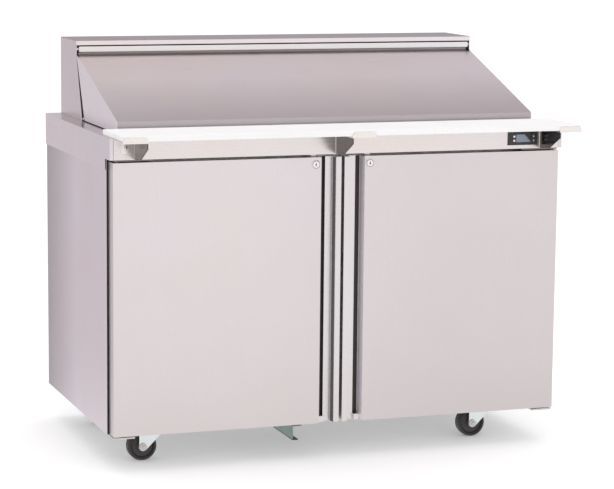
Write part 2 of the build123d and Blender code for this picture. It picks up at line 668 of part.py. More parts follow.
def wire_shelves():
    shelves = []
    for part in wire_shelf():
        shelves += both_sides(part)
    return shelves


def shelf_supports():
    """Pilaster strips on the walls, the back and the centre post, with a clip under each corner."""
    side = CAVITY_X - LINER_T
    back = CAVITY_BACK_LOW - LINER_T
    z0, z1 = 160.0, 470.0
    clip_z1 = SHELF_Z - FRAME_ROD_R
    clip_z0 = clip_z1 - 6.0
    front_y, rear_y = SHELF_Y0 + 4, SHELF_Y1 - 4
    parts = []
    for y in (front_y, rear_y):
        strip_y = min(y, back - 8)
        wall = side - PILASTER_T
        parts += both_sides(box(wall, side, strip_y - 6, strip_y + 6, z0, z1))
        parts += both_sides(box(SHELF_X1 - 12, wall, strip_y - 6, strip_y + 6, clip_z0, clip_z1))
    post_y = FRAME_Y + FRAME_T + MULLION_DEPTH
    parts.append(box(-14, 14, back - PILASTER_T, back, z0, z1))
    for x0, x1 in ((-SHELF_X0 - 12, -6), (6, SHELF_X0 + 12)):
        parts.append(box(x0, x1, rear_y - 6, back - PILASTER_T, clip_z0, clip_z1))
        parts.append(box(x0, x1, post_y, front_y + 6, clip_z0, clip_z1))
    return parts


# ---------------------------------------------------------------- refrigeration
def fan_blade(radius, hub_r, bore_r, y0, depth, count, x, z):
    """A hub with flat pitched blades, on an axis along Y."""
    fan = rod(hub_r, (x, y0, z), (x, y0 + depth, z))
    mid = y0 + depth / 2
    for i in range(count):
        blade = Box(radius - hub_r + 4, 2.0, (radius * 0.75), align=(Align.MIN, Align.CENTER, Align.CENTER))
        blade = Pos(hub_r - 4, 0, 0) * Rot(24, 0, 0) * blade
        blade = blade & rod(radius, (0, -depth / 2, 0), (0, depth / 2, 0))
        fan += Pos(x, mid, z) * Rot(0, i * 360 / count, 0) * blade
    return fan - rod(bore_r, (x, y0 - 1, z), (x, y0 + depth + 1, z))


def finned_block(x0, x1, y0, y1, z0, z1, pitch):
    """A coil: two end plates, closely spaced fins and the tubes through them."""
    coil = box(x0, x1, y0 + 2, y1 - 2, z0 + 4, z1 - 4)
    for x in (x0, x1 - 2):
        coil += box(x, x + 2, y0, y1, z0, z1)
    count = int((x1 - x0 - 10) / pitch)
    for i in range(count):
        x = x0 + 5 + i * pitch
        coil -= box(x, x + pitch * 0.5, y0, y0 + 6, z0 + 6, z1 - 6)
    return coil


def evaporator_coil():
    return finned_block(-230, 230, 566, 640, 510, 726, 8.0)


def evaporator_housing():
    """The cover in front of the coil, with the fan's ring, its guard cross and the motor."""
    y0 = 552.0
    z0, z1 = STEP_Z + LINER_T, 736.0
    cover = box(-262, 262, y0, y0 + 1.5, z0, z1)
    cover += box(-262, 262, y0, CAVITY_BACK_HIGH - LINER_T, z1 - 1.5, z1)
    for side in both_sides(box(260.5, 262, y0, CAVITY_BACK_HIGH - LINER_T, z0, z1)):
        cover += side
    ring_r = EVAPORATOR_FAN_R + 6
    cover -= rod(ring_r, (0, y0 - 1, EVAPORATOR_Z), (0, y0 + 3, EVAPORATOR_Z))
    cover += box(-ring_r - 4, ring_r + 4, y0, y0 + 1.5, EVAPORATOR_Z - 5, EVAPORATOR_Z + 5)
    cover += rod(16, (0, y0, EVAPORATOR_Z), (0, y0 + 12, EVAPORATOR_Z))
    cover += rod(FAN_SHAFT_R, (0, EVAPORATOR_FAN_Y - 8, EVAPORATOR_Z), (0, y0 + 2, EVAPORATOR_Z))
    return cover


def evaporator_fan():
    return fan_blade(EVAPORATOR_FAN_R, 12, FAN_SHAFT_R + RUN_FIT, EVAPORATOR_FAN_Y - 7, 14, 5,
                     0, EVAPORATOR_Z)


def condenser_fan():
    return fan_blade(CONDENSER_FAN_R, 18, FAN_SHAFT_R + RUN_FIT, CONDENSER_FAN_Y - 10, 20, 5,
                     CONDENSER_X, CONDENSER_Z)


def condenser_coil():
    return finned_block(CONDENSER_X - 105, CONDENSER_X + 105, 642, 680, 118, 330, 7.0)


def condenser_shroud():
    """The fan shroud in front of the coil, and the motor on its arm."""
    x, z = CONDENSER_X, CONDENSER_Z
    shroud = box(x - 105, x + 105, 628, 642, 118, 330)
    shroud -= rod(CONDENSER_FAN_R + 6, (x, 620, z), (x, 650, z))
    shroud += box(x - 105, x + 105, 573, 575, 118, 142)
    for side in (-1, 1):
        shroud += box(x + side * 100 - 5, x + side * 100 + 5, 573, 642, 118, 128)
    motor = rod(30, (x, 562, z), (x, 598, z))
    motor += rod(FAN_SHAFT_R, (x, 598, z), (x, CONDENSER_FAN_Y + 11, z))
    motor += box(x - 12, x + 12, 570, 573, 118, z)
    return [shroud, motor]


def compressor():
    """The hermetic compressor on its feet, with stub pipes."""
    x, y = -300.0, 618.0
    z0 = 104.0
    shell = Pos(x, y, z0 + 12) * Cylinder(62, 150, align=(Align.CENTER, Align.CENTER, Align.MIN))
    shell = fillet(shell.edges().filter_by(GeomType.CIRCLE), 28)
    shell += box(x - 80, x + 80, y - 55, y + 55, z0 + 8, z0 + 13)
    for dx in (-66, 66):
        for dy in (-42, 42):
            shell += rod(10, (x + dx, y + dy, z0 - 6), (x + dx, y + dy, z0 + 9))
    shell += rod(6, (x + 58, y, 220), (x + 92, y, 220))
    shell += box(x - 76, x - 50, y - 24, y + 24, 170, 220)
    return shell


def unit_base():
    """The condensing unit's tray."""
    tray = box(-420, 320, 556, 680, BASE_Z + SHEET, BASE_Z + SHEET + 4.8)
    tray += box(CONDENSER_X - 110, CONDENSER_X + 110, 560, 680, BASE_Z + 5, 118)
    return tray


# ---------------------------------------------------------------- underside
def under_bracket():
    """A folded channel under the cabinet's middle, with a foot at its front."""
    x, t = CHANNEL_X, CHANNEL_T
    channel = box(x, x + t, CHANNEL_Y0, CHANNEL_Y1, CHANNEL_Z, BASE_Z)
    channel += box(x, x + CHANNEL_TOP_W, CHANNEL_Y0, CHANNEL_Y1, BASE_Z - t, BASE_Z)
    channel += box(x, x + CHANNEL_FOOT_W, CHANNEL_Y0, CHANNEL_FOOT_Y1, CHANNEL_Z, CHANNEL_Z + t)
    return channel


def caster_places():
    """Swivel axes, named by corner."""
    return {"front_left": (-CASTER_X, CASTER_Y[0]), "front_right": (CASTER_X, CASTER_Y[0]),
            "rear_left": (-CASTER_X, CASTER_Y[1]), "rear_right": (CASTER_X, CASTER_Y[1])}


def caster_plate(x, y):
    """The top plate, its race and the kingpin with its nut."""
    plate = box(x - 46, x + 46, y - 33, y + 33, BASE_Z - 3, BASE_Z)
    plate = fillet(plate.edges().filter_by(Axis.Z), 6)
    plate += rod(22, (x, y, BASE_Z - 8), (x, y, BASE_Z - 2))
    plate += rod(KINGPIN_R, (x, y, 72), (x, y, BASE_Z - 2))
    plate += rod(8, (x, y, 72), (x, y, 79.6))
    for dx in (-36, 36):
        for dy in (-24, 24):
            plate += rod(5, (x + dx, y + dy, BASE_Z - 6.5), (x + dx, y + dy, BASE_Z - 2))
    return plate


def caster_plates():
    return [caster_plate(x, y) for x, y in caster_places().values()]


def caster_fork(x, y):
    """The fork that trails to -X at rest, and the axle bolt through it."""
    ax = x - TRAIL
    leg_y = WHEEL_W / 2 + 3
    top = box(ax - 10.5, x + 20, y - leg_y - 2.5, y + leg_y + 2.5, 80, 83.6)
    top += rod(21, (x, y, 80), (x, y, 83.6))
    outline = [(x + 18, 83.6), (x + 18, 76), (ax + 9, 31), (ax - 10.5, 36), (ax - 10.5, 83.6)]
    fork = top
    for side in (-1, 1):
        y0, y1 = sorted((y + side * leg_y, y + side * (leg_y + 2.5)))
        fork += prism_y(outline, y0, y1)
        fork += rod(11, (ax, y0, WHEEL_R), (ax, y1, WHEEL_R))
    fork -= rod(KINGPIN_R + RUN_FIT, (x, y, 70), (x, y, 90))
    fork -= rod(AXLE_R, (ax, y - 40, WHEEL_R), (ax, y + 40, WHEEL_R))
    axle = rod(AXLE_R, (ax, y - leg_y - 2.5, WHEEL_R), (ax, y + leg_y + 2.5, WHEEL_R))
    for side in (-1, 1):
        y0, y1 = sorted((y + side * (leg_y + 2.5), y + side * (leg_y + 7)))
        axle += rod(8.5, (ax, y0, WHEEL_R), (ax, y1, WHEEL_R))
    return [fork, axle]


def caster_wheel(x, y):
    """A moulded wheel: rounded tread, recessed web and hub."""
    half = WHEEL_W / 2
    hub = half + 2.7
    bore = AXLE_R + RUN_FIT
    outline = [(bore, -hub), (13, -hub), (13, -9), (27, -9), (30, -half + 1), (33.5, -half),
               (37, -half + 3), (WHEEL_R, -half + 8), (WHEEL_R, half - 8), (37, half - 3), (33.5, half),
               (30, half - 1), (27, 9), (13, 9), (13, hub), (bore, hub)]
    face = Plane.XY * make_face(Polyline(*outline, close=True))
    wheel = revolve(face, axis=Axis.Y, revolution_arc=360)
    return Pos(x - TRAIL, y, WHEEL_R) * wheel


# ---------------------------------------------------------------- assembly
def build():
    """Every node's solids, by name."""
    right_door = {"skin": door_skin(), "core": door_core(), "gasket": door_gasket(),
                  "pull": door_pull(), "lock": door_lock()}
    nodes = {
        "side_panel_right": side_panel(),
        "side_panel_left": mirror(side_panel(), about=Plane.YZ),
        "back_panel": back_panel(),
        "rear_grille": rear_grille(),
        "base_pan": base_pan(),
        "foam_core": foam_core(),
        "inner_liner": inner_liner(),
        "face_frame": face_frame(),
        "center_mullion": center_mullion(),
        "countertop": countertop(),
        "control_fascia": control_fascia(),
        "pan_rail": pan_rail(),
        "divider_bars": divider_bars(),
        "food_pans": food_pans(),
        "hood_housing": hood_housing(),
        "hood_cap": hood_cap(),
        "lid_hinge_rod": lid_hinge_rod(),
        "lid_skin": lid_skin(),
        "lid_liner": lid_liner(),
        "cutting_board": cutting_board(),
        "board_brackets": board_brackets(),
        "screws": screws(),
        "controller_bezel": controller_bezel(),
        "controller_display": controller_display(),
        "hinge_brackets": hinge_brackets(),
        "wire_shelves": wire_shelves(),
        "shelf_supports": shelf_supports(),
        "evaporator_coil": evaporator_coil(),
        "evaporator_housing": evaporator_housing(),
        "evaporator_fan": evaporator_fan(),
        "condenser_coil": condenser_coil(),
        "condenser_shroud": condenser_shroud(),
        "condenser_fan": condenser_fan(),
        "compressor": compressor(),
        "unit_base": unit_base(),
        "cord_inlet": cord_inlet(),
        "under_bracket": under_bracket(),
        "caster_plates": caster_plates(),
        "button_power": button(BUTTON_X[0], BUTTON_Z[1]),
        "button_set": button(BUTTON_X[0], BUTTON_Z[0]),
        "button_up": button(BUTTON_X[1], BUTTON_Z[1]),
        "button_down": button(BUTTON_X[1], BUTTON_Z[0]),
    }
    for piece, shape in right_door.items():
        shapes = shape if isinstance(shape, list) else [shape]
        nodes["door_right_" + piece] = shapes
        nodes["door_left_" + piece] = [mirror(s, about=Plane.YZ) for s in shapes]
    for corner, (x, y) in caster_places().items():
        nodes["caster_fork_" + corner] = caster_fork(x, y)
        nodes["caster_wheel_" + corner] = caster_wheel(x, y)
    return nodes


def main():
    os.makedirs("parts", exist_ok=True)
    for name, shapes in build().items():
        moved = [Pos(0, -CENTRE_Y, 0) * solid for solid in solids_of(shapes)]
        export_step(moved[0] if len(moved) == 1 else Compound(children=moved), "parts/" + name + ".step")
        print(name, len(moved))


if __name__ == "__main__":
    main()
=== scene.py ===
import math

import bmesh
import bpy
from mathutils import Matrix, Vector


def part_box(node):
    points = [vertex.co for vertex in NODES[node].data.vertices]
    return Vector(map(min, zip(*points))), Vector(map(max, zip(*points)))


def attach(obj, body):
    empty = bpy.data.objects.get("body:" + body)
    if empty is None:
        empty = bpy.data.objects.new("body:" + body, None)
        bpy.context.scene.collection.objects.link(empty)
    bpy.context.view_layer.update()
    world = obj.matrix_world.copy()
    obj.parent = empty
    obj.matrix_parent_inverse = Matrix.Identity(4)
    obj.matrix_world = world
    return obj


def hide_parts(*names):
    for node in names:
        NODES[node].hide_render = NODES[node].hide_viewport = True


# A two-door stainless sandwich prep table: materials, softened edges, fine pieces, light and camera.
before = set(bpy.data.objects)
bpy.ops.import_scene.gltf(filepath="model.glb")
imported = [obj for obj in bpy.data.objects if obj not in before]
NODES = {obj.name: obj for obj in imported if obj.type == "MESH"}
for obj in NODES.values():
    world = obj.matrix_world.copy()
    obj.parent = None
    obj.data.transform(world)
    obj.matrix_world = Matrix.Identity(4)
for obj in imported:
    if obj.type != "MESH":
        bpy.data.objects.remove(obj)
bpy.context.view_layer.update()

MM = 0.001
CORNERS = ("front_left", "front_right", "rear_left", "rear_right")
SIDES = ("left", "right")

# ---------------------------------------------------------------- camera
CAMERA_AT = (-1.9945, -5.6679, 1.4287)
CAMERA_YAW = 19.44
CAMERA_PITCH = 8.64
CAMERA_ROLL = 0.56
CAMERA_LENS = 133.5          # millimetres, on a sensor SENSOR wide
SENSOR = 36.0
CAMERA_REACH = 200.0         # metres

# ---------------------------------------------------------------- colours, linear
# The stainless colours differ from part to part partly as painted light and shade: lighter and darker copies of
# one steel, each set to how light falls on that part.
STEEL_SHEET = (0.72, 0.675, 0.672)
STEEL_SIDE = (0.735, 0.685, 0.71)
STEEL_END_LIT = (0.83, 0.79, 0.815)
STEEL_FASCIA = (0.74, 0.69, 0.665)
STEEL_LID = (0.67, 0.618, 0.615)
STEEL_BAR_LIT = (0.745, 0.735, 0.72)
STEEL_PULL = (0.70, 0.67, 0.665)
STEEL_INNER = (0.62, 0.61, 0.60)
STEEL_HEM_SHADE = (0.47, 0.445, 0.45)
STEEL_CAP_TOP_SHADE = (0.25, 0.227, 0.237)
STEEL_BAND_SHADE = (0.46, 0.42, 0.43)
POLISHED_SHADE = (0.10, 0.088, 0.083)
POLISHED_LIGHT = (0.80, 0.765, 0.72)
ZINC_TEAL_SHADE = (0.20, 0.28, 0.26)
GALVANISED_DULL = (0.42, 0.43, 0.43)
ZINC = (0.74, 0.80, 0.80)
ZINC_DARK = (0.19, 0.165, 0.16)
ZINC_FOOT = (0.60, 0.58, 0.55)
FOOT_SHADOW_BROWN = (0.06, 0.045, 0.04)
RUBBER = (0.022, 0.019, 0.021)
GASKET = (0.014, 0.012, 0.013)
SHADE_BLACK = (0.035, 0.028, 0.028)
BOARD_WHITE = (0.81, 0.802, 0.805)
NYLON = (0.85, 0.84, 0.82)
TRIM_GREY = (0.95, 0.87, 0.92)
SCREW_STEEL = (0.55, 0.53, 0.52)
FIN_ALUMINIUM = (0.62, 0.63, 0.64)
LINER_ALUMINIUM = (0.66, 0.67, 0.68)
COMPRESSOR_BLACK = (0.02, 0.02, 0.022)
BEZEL_BLACK = (0.03, 0.028, 0.028)
FAN_GREY = (0.05, 0.052, 0.056)
SHELF_GREY = (0.55, 0.56, 0.56)
FOAM_YELLOW = (0.72, 0.60, 0.32)
DOOR_INNER_WHITE = (0.66, 0.66, 0.655)
BUTTON_METAL = (0.70, 0.69, 0.68)
LOCK_CHROME = (0.82, 0.80, 0.80)
LOCK_SHADE_BLACK = (0.03, 0.025, 0.025)
WHEEL_WEB = (0.045, 0.042, 0.043)
WHEEL_HUB = (0.10, 0.095, 0.092)
DISPLAY_DARK, DISPLAY_LIGHT = (0.20, 0.235, 0.30), (0.235, 0.27, 0.335)
DISPLAY_MASK = (0.05, 0.045, 0.045)
PAPER_LOW, PAPER_HIGH = (0.90, 0.90, 0.90), (0.91, 0.91, 0.91)


# ---------------------------------------------------------------- places, metres
def middle(node):
    low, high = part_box(node)
    return (low + high) / 2


DOOR_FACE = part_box("door_left_skin")[0].y
FASCIA_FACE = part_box("control_fascia")[0].y
HINGE = middle("lid_hinge_rod")
LID_LOW, LID_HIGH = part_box("lid_skin")
LID_KNEE = LID_LOW.z + 28.5 * MM        # where the sloping panel turns down into the hem
BOARD_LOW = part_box("cutting_board")[0]
SIDE_LOW, SIDE_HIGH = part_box("side_panel_left")


def loose_boxes(node):
    """The lowest and highest corners of each separate solid in a CAD node."""
    build = bmesh.new()
    build.from_mesh(NODES[node].data)
    bmesh.ops.remove_doubles(build, verts=build.verts, dist=0.01 * MM)
    left = set(build.verts)
    boxes = []
    while left:
        group, queue = [], [left.pop()]
        while queue:
            vert = queue.pop()
            group.append(vert.co.copy())
            for edge in vert.link_edges:
                other = edge.other_vert(vert)
                if other in left:
                    left.remove(other)
                    queue.append(other)
        boxes.append((Vector([min(c[i] for c in group) for i in range(3)]),
                      Vector([max(c[i] for c in group) for i in range(3)])))
    build.free()
    return sorted(boxes, key=lambda corners: tuple(corners[0]))


# ---------------------------------------------------------------- material helpers
class Finish:
    """A material's node tree, with short ways to add and join nodes."""

    def __init__(self, name):
        self.material = bpy.data.materials.new(name)
        self.material.use_nodes = True
        self.tree = self.material.node_tree
        self.shader = self.tree.nodes["Principled BSDF"]
        self.coords = self.add("ShaderNodeTexCoord")
        self.split = None

    def add(self, kind, **settings):
        node = self.tree.nodes.new(kind)
        for key, value in settings.items():
            setattr(node, key, value)
        return node

    def link(self, output, socket):
        self.tree.links.new(output, socket)

    def set(self, **values):
        """Constant values on the shader's own sockets."""
        for key, value in values.items():
            name = key.replace("_", " ")
            if isinstance(value, tuple) and len(value) == 3:
                value = (*value, 1.0)
            self.shader.inputs[name].default_value = value

    def noise(self, scale, detail=2.0, rough=0.5, offset=(0.0, 0.0, 0.0)):
        """Noise with scale cells per metre along each axis of the object."""
        mapping = self.add("ShaderNodeMapping")
        mapping.inputs["Scale"].default_value = scale if isinstance(scale, tuple) else (scale,) * 3
        mapping.inputs["Location"].default_value = offset
        self.link(self.coords.outputs["Object"], mapping.inputs["Vector"])
        noise = self.add("ShaderNodeTexNoise")
        noise.inputs["Scale"].default_value = 1.0
        noise.inputs["Detail"].default_value = detail
        noise.inputs["Roughness"].default_value = rough
        self.link(mapping.outputs["Vector"], noise.inputs["Vector"])
        return noise.outputs["Fac"]

    def math(self, operation, first, second):
        node = self.add("ShaderNodeMath", operation=operation)
        for socket, value in zip(node.inputs, (first, second)):
            if isinstance(value, (int, float)):
                socket.default_value = value
            else:
                self.link(value, socket)
        return node.outputs[0]

    def spread(self, value, low, high, start=0.3, end=0.7):
        """value from start..end mapped to low..high."""
        node = self.add("ShaderNodeMapRange")
        node.inputs["From Min"].default_value = start
        node.inputs["From Max"].default_value = end
        node.inputs["To Min"].default_value = low
        node.inputs["To Max"].default_value = high
        self.link(value, node.inputs["Value"])
        return node.outputs["Result"]

    def mix(self, factor, first, second):
        """A colour between two, each a tuple or an output."""
        node = self.add("ShaderNodeMix", data_type="RGBA")
        self.link(factor, node.inputs["Factor"])
        for socket, value in zip((node.inputs[6], node.inputs[7]), (first, second)):
            if isinstance(value, tuple):
                socket.default_value = (*value, 1.0)
            else:
                self.link(value, socket)
        return node.outputs[2]

    def place(self, axis):
        """The object's own X, Y or Z coordinate."""
        if self.split is None:
            self.split = self.add("ShaderNodeSeparateXYZ")
            self.link(self.coords.outputs["Object"], self.split.inputs["Vector"])
        return self.split.outputs[axis]

    def inside(self, value, low, high, soft=0.0001):
        """1 where low < value < high, falling to 0 over soft."""
        rise = self.spread(value, 0.0, 1.0, low - soft, low + soft)
        fall = self.spread(value, 1.0, 0.0, high - soft, high + soft)
        return self.math("MULTIPLY", rise, fall)

    def both(self, *masks):
        product = masks[0]
        for mask in masks[1:]:
            product = self.math("MULTIPLY", product, mask)
        return product

    def radius(self, axes, centre):
        """Distance from a line through centre; axes are the two that it crosses."""
        squares = []
        for axis in axes:
            offset = self.math("SUBTRACT", self.place(axis), getattr(centre, axis.lower()))
            squares.append(self.math("MULTIPLY", offset, offset))
        return self.math("SQRT", self.math("ADD", *squares), 0.0)

    def paint(self, base, regions):
        """base with each region's colour laid over it; a region is a mask's function and a colour."""
        for mask, colour in regions:
            base = self.mix(mask(self), base, colour)
        return base

    def bump(self, height, strength, distance):
        node = self.add("ShaderNodeBump")
        node.inputs["Strength"].default_value = strength
        node.inputs["Distance"].default_value = distance
        self.link(height, node.inputs["Height"])
        self.link(node.outputs["Normal"], self.shader.inputs["Normal"])


def shade(colour, factor):
    return tuple(min(1.0, c * factor) for c in colour)


GRAIN_ACROSS = 900.0        # brushing lines per metre
GRAIN_ALONG = 9.0


def grain_scale(axis):
    """Noise scale of brushing lines that run along an axis."""
    return tuple(GRAIN_ALONG if a == axis else GRAIN_ACROSS for a in "XYZ")


def brushed_steel(name, colour, rough=0.3, along="X", side_along="Y", contrast=0.03, regions=(), plastic=()):
    """Brushed stainless: lines along one axis, and along another on faces that look sideways.

    regions are places of another tone, painted light and shade among them; plastic holds the places that are
    not metal, each with its colour: black ones that paint the shade of slots and gaps, and grey plastic trim.
    """
    f = Finish(name)
    main = f.noise(grain_scale(along), detail=3.0)
    side = f.noise(grain_scale(side_along), detail=3.0, offset=(3.1, 1.7, 5.3))
    split = f.add("ShaderNodeSeparateXYZ")
    f.link(f.coords.outputs["Normal"], split.inputs["Vector"])
    sideways = f.math("GREATER_THAN", f.math("ABSOLUTE", split.outputs["X"], 0.0), 0.7)
    lines_mix = f.add("ShaderNodeMix", data_type="FLOAT")
    f.link(sideways, lines_mix.inputs["Factor"])
    f.link(main, lines_mix.inputs[2])
    f.link(side, lines_mix.inputs[3])
    lines = lines_mix.outputs[0]
    cloud = f.noise(2.3, detail=3.0, rough=0.6, offset=(7.0, 2.0, 4.0))
    smudge = f.noise(11.0, detail=4.0, rough=0.65, offset=(1.0, 9.0, 3.0))
    tone = f.math("ADD", f.math("MULTIPLY", lines, 0.55), f.math("MULTIPLY", cloud, 0.45))
    warm = (colour[0] * 1.012, colour[1], colour[2] * 0.985)
    cool = (colour[0] * 0.985, colour[1], colour[2] * 1.02)
    tinted = f.paint(f.mix(f.spread(cloud, 0.0, 1.0, 0.38, 0.62), warm, cool), regions)
    shaded = f.add("ShaderNodeMix", data_type="RGBA", blend_type="MULTIPLY")
    shaded.inputs["Factor"].default_value = 1.0
    grey = f.spread(tone, 1.0 - contrast, 1.0 + contrast * 0.6, 0.36, 0.64)
    combine = f.add("ShaderNodeCombineColor")
    for channel in ("Red", "Green", "Blue"):
        f.link(grey, combine.inputs[channel])
    f.link(tinted, shaded.inputs[6])
    f.link(combine.outputs["Color"], shaded.inputs[7])
    rough_lines = f.spread(lines, rough - 0.05, rough + 0.06)
    rough_smudge = f.spread(smudge, -0.02, 0.03)
    f.link(f.math("ADD", rough_lines, rough_smudge), f.shader.inputs["Roughness"])
    f.bump(lines, 0.06, 0.00004)
    f.link(f.paint(shaded.outputs[2], plastic), f.shader.inputs["Base Color"])
    if plastic:
        metal = 1.0
        for mask, _ in plastic:
            metal = f.math("SUBTRACT", metal, mask(f))
        f.link(metal, f.shader.inputs["Metallic"])
    else:
        f.set(Metallic=1.0)
    return f.material


METAL_MOTTLE = 240.0        # cells per metre
SPANGLE_CELLS = 90.0


def plain_metal(name, colour, rough=0.35, spangle=0.0, metallic=1.0, regions=()):
    """Plated or painted metal with a fine mottle; spangle is the strength of larger crystals."""
    f = Finish(name)
    fine = f.noise(METAL_MOTTLE, detail=4.0, rough=0.6)
    coarse = f.noise(METAL_MOTTLE * 0.09, detail=2.0, offset=(4.0, 4.0, 1.0))
    base = f.mix(f.spread(fine, 0.0, 1.0), shade(colour, 0.94), shade(colour, 1.05))
    if spangle:
        cells = f.add("ShaderNodeTexVoronoi")
        cells.inputs["Scale"].default_value = SPANGLE_CELLS
        f.link(f.coords.outputs["Object"], cells.inputs["Vector"])
        split = f.add("ShaderNodeSeparateColor")
        f.link(cells.outputs["Color"], split.inputs["Color"])
        base = f.mix(f.spread(split.outputs["Red"], 0.0, spangle, 0.0, 1.0), base, shade(colour, 1.45))
    f.link(f.paint(base, regions), f.shader.inputs["Base Color"])
    f.link(f.math("ADD", f.spread(fine, rough - 0.06, rough + 0.06), f.spread(coarse, -0.04, 0.05)),
           f.shader.inputs["Roughness"])
    f.bump(fine, 0.08, 0.00005)
    f.set(Metallic=metallic)
    return f.material


def moulded(name, colour, rough=0.5, grain=900.0, bump=0.15, mottle=0.1, regions=()):
    """Moulded plastic or rubber with a fine grain and faint flow marks."""
    f = Finish(name)
    fine = f.noise(grain, detail=3.0, rough=0.6)
    flow = f.noise(18.0, detail=3.0, offset=(2.0, 8.0, 5.0))
    base = f.mix(f.spread(flow, 0.0, 1.0), shade(colour, 1.0 - mottle), shade(colour, 1.0 + mottle))
    f.link(f.paint(base, regions), f.shader.inputs["Base Color"])
    f.link(f.math("ADD", f.spread(fine, rough - 0.06, rough + 0.06), f.spread(flow, -0.03, 0.04)),
           f.shader.inputs["Roughness"])
    f.bump(fine, bump, 0.00006)
    return f.material


def board_plastic():
    """White polyethylene: a satin sheet with a fine pebble and faint knife lines."""
    f = Finish("board_white")
    pebble = f.noise(700.0, detail=2.0)
    cloud = f.noise(6.0, detail=4.0, offset=(5.0, 1.0, 0.0))
    cuts = f.noise((260.0, 14.0, 40.0), detail=1.0, offset=(0.0, 3.0, 0.0))
    base = f.mix(f.spread(cloud, 0.0, 1.0), BOARD_WHITE, shade(BOARD_WHITE, 0.965))
    base = f.mix(f.spread(cuts, 0.0, 0.5, 0.66, 0.74), base, shade(BOARD_WHITE, 0.90))
    f.link(base, f.shader.inputs["Base Color"])
    f.link(f.spread(pebble, 0.42, 0.55), f.shader.inputs["Roughness"])
    height = f.math("SUBTRACT", pebble, f.spread(cuts, 0.0, 0.6, 0.66, 0.74))
    f.bump(height, 0.12, 0.00008)
    f.set(Subsurface_Weight=0.12)
    f.shader.inputs["Subsurface Radius"].default_value = (0.004, 0.004, 0.004)
    return f.material


def display_glass():
    """A grey-blue liquid-crystal window whose upper right corner is masked dark."""
    low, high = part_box("controller_display")
    f = Finish("display_window")
    across = f.math("DIVIDE", f.math("SUBTRACT", f.place("X"), low.x), high.x - low.x)
    up = f.math("DIVIDE", f.math("SUBTRACT", f.place("Z"), low.z), high.z - low.z)
    corner = f.math("ADD", across, f.math("MULTIPLY", up, 0.45))
    mask = f.spread(corner, 0.0, 1.0, 1.02, 1.06)
    fine = f.noise(1500.0)
    lit = f.mix(f.spread(fine, 0.0, 1.0), DISPLAY_DARK, DISPLAY_LIGHT)
    f.link(f.mix(mask, lit, DISPLAY_MASK), f.shader.inputs["Base Color"])
    f.link(f.spread(fine, 0.12, 0.2), f.shader.inputs["Roughness"])
    f.set(Coat_Weight=0.6, Coat_Roughness=0.05)
    return f.material


# ---------------------------------------------------------------- places of another tone, most of them painted light and shade
LID_END = LID_HIGH.x - 1.35 * MM
BARREL_EDGE = 10.4 * MM      # radius of the lid's hinge barrel
BAND_REACH = 26.0 * MM       # the shaded band ends this far from the barrel's axis
LOWER_RISE = 85.0 * MM       # the lower shade fades out this far above the knee
CAP_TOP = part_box("hood_cap")[1].z
ACROSS_HALF = 0.25           # the doors' shade changes over this far each side of the middle
FRAME_EDGE = 0.592
HINGES_PART = 0.41           # height between the lower and the upper hinge plates
FOOT_HEIGHT = 2.4 * MM


def from_middle(f):
    """Distance from the plane between the doors."""
    return f.math("ABSOLUTE", f.place("X"), 0.0)


# The lid paints its end plates with a lighter copy of its steel, as painted light.
def lid_end(f):
    """The end plates of the lid."""
    return f.spread(from_middle(f), 0.0, 1.0, LID_END, LID_END + 0.1 * MM)


def lid_panel(f):
    return f.math("SUBTRACT", 1.0, lid_end(f))


def lid_band_painted_shade(f):
    """Painted shade: the dark band of the panel below the hinge barrel."""
    return f.both(f.inside(f.radius("YZ", HINGE), BARREL_EDGE + 0.1 * MM, BAND_REACH, 1.5 * MM), lid_panel(f))


# Painted light: the barrel takes a lighter copy of the lid's steel.
def lid_barrel(f):
    return f.spread(f.radius("YZ", HINGE), 1.0, 0.0, BARREL_EDGE - 0.6 * MM, BARREL_EDGE)


def lid_lower_painted_shade(f):
    """Painted shade: grows from the middle of the panel to its knee."""
    return f.spread(f.place("Z"), 1.0, 0.0, LID_KNEE, LID_KNEE + LOWER_RISE)


# Painted shade: the hem below the knee takes a darker copy of the lid's steel.
def lid_hem(f):
    return f.both(f.spread(f.place("Z"), 1.0, 0.0, LID_KNEE - 1.5 * MM, LID_KNEE), lid_panel(f))


# Painted shade: the top face of the hood's cap is dark.
def cap_top_painted_shade(f):
    return f.spread(f.place("Z"), 0.0, 1.0, CAP_TOP - 1.2 * MM, CAP_TOP - 0.4 * MM)


def door_painted_shade(f):
    """Painted shade: grows down the doors and towards the right one."""
    down = f.spread(f.place("Z"), 0.5, 0.0, SIDE_LOW.z, SIDE_HIGH.z)
    across = f.spread(f.place("X"), 0.0, 0.5, -ACROSS_HALF, ACROSS_HALF)
    return f.math("ADD", down, across)


def side_rear_painted_shade(f):
    """Painted shade: grows from the middle of the side panels to the rear."""
    return f.spread(f.place("Y"), 0.0, 1.0, (SIDE_LOW.y + SIDE_HIGH.y) / 2, SIDE_HIGH.y)


PLATE_HALF, PLATE_REACH = 1.25 * MM, 1.4 * MM
LEFT_BRACKET = -0.3          # only the left bracket ends before this; its plate is on its right


def gusset_plates_painted_shade(f):
    """The brackets' upright plates, in front of the fascia and below the shelves; painted shade darkens them.
    """
    masks = []
    for low, high in loose_boxes("board_brackets"):
        x = high.x - PLATE_HALF if high.x < LEFT_BRACKET else low.x + PLATE_HALF
        masks.append(f.inside(f.place("X"), x - PLATE_REACH, x + PLATE_REACH, 0.05 * MM))
    total = f.math("MAXIMUM", f.math("MAXIMUM", masks[0], masks[1]), masks[2])
    below = f.spread(f.place("Z"), 1.0, 0.0, BOARD_LOW.z - 5.0 * MM, BOARD_LOW.z - 4.6 * MM)
    ahead = f.spread(f.place("Y"), 1.0, 0.0, FASCIA_FACE - 2.4 * MM, FASCIA_FACE - 2.1 * MM)
    return f.both(total, below, ahead)


